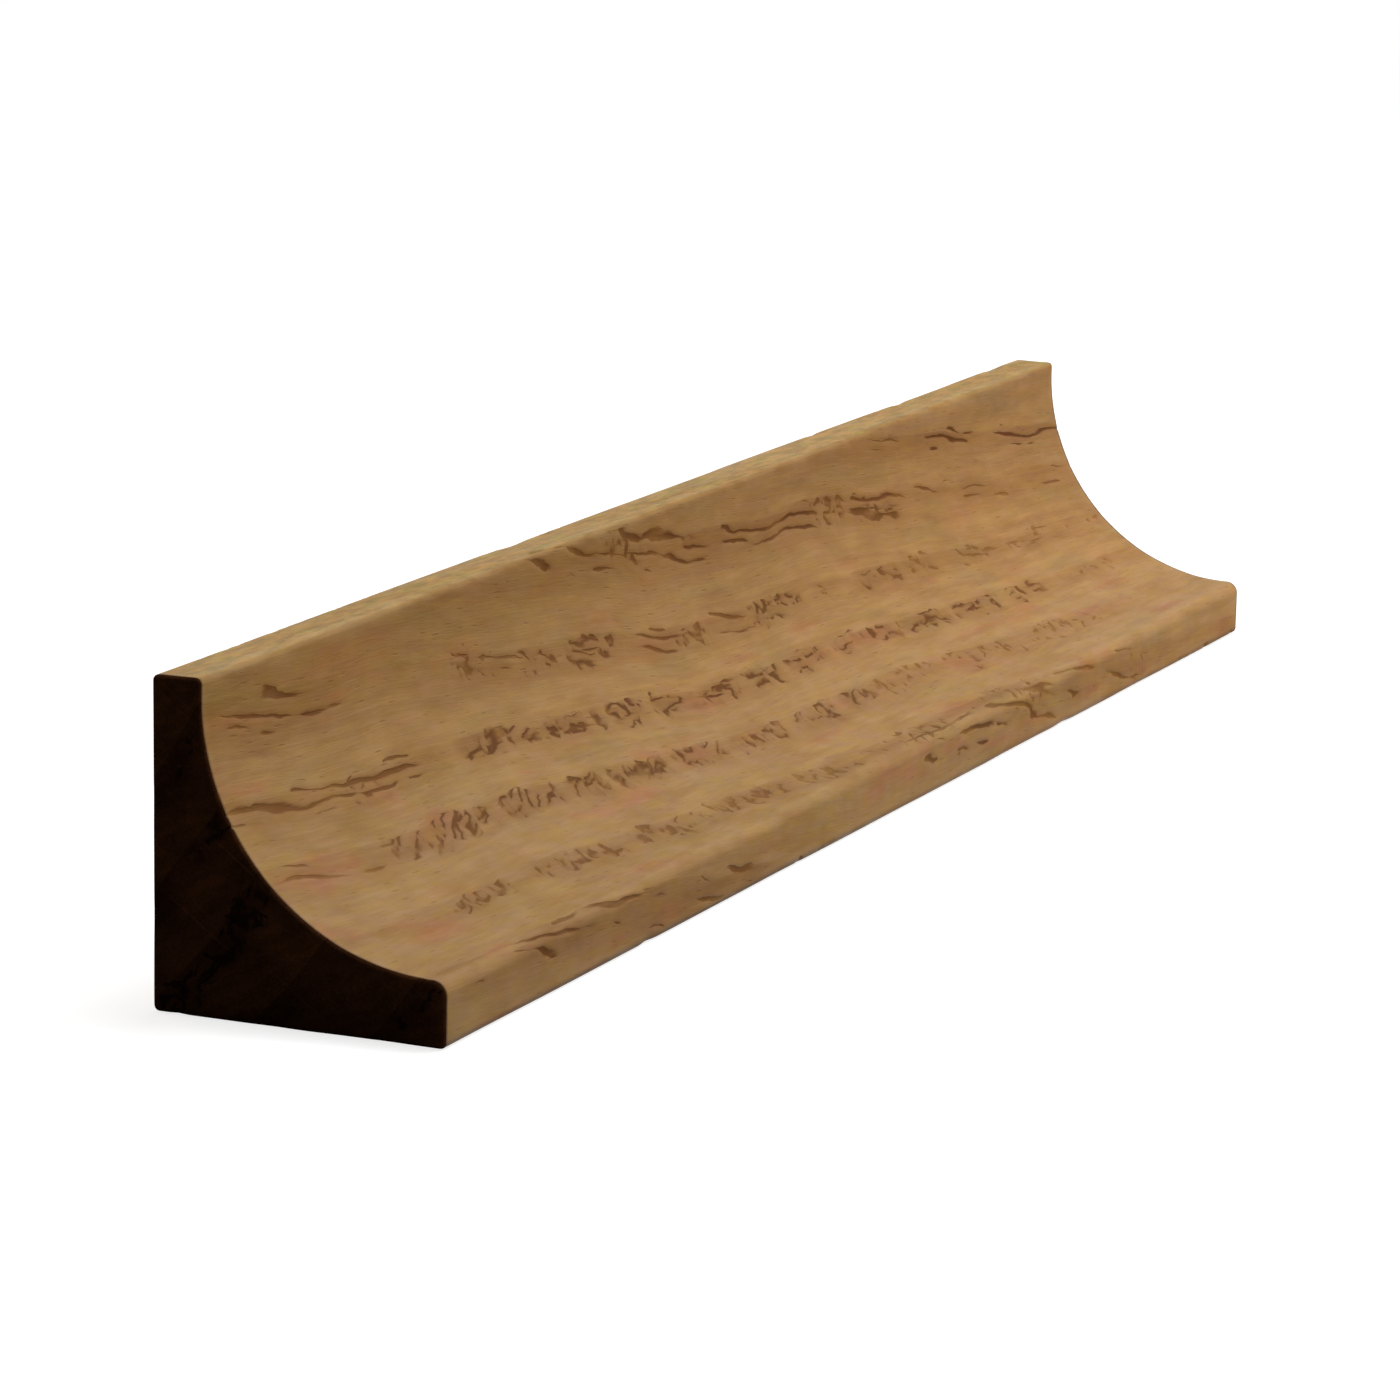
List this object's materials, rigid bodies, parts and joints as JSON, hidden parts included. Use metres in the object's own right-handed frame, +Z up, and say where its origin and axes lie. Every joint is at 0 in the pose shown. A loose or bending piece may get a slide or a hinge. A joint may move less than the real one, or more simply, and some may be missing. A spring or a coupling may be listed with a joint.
{
  "type": "scotia moulding",
  "caption": "Short length of oak scotia moulding: a square-backed stick with a quarter-round hollow face between a narrow top land and an upright front lip.",
  "frame": {"origin": "centre of the flat base: the middle of the length and of the depth, on the surface that the moulding stands on", "axes": "+X along the grain and the length, +Y from the front lip to the back face, +Z up from the base to the top land"},
  "size_m": [0.13, 0.018, 0.019],
  "materials": {
    "oak": "planed and sanded oak with a thin satin oil, open pores along the grain, dark sawn end grain"
  },
  "bodies": {
    "root": {"scotia_moulding": "oak"}
  },
  "joints": []
}
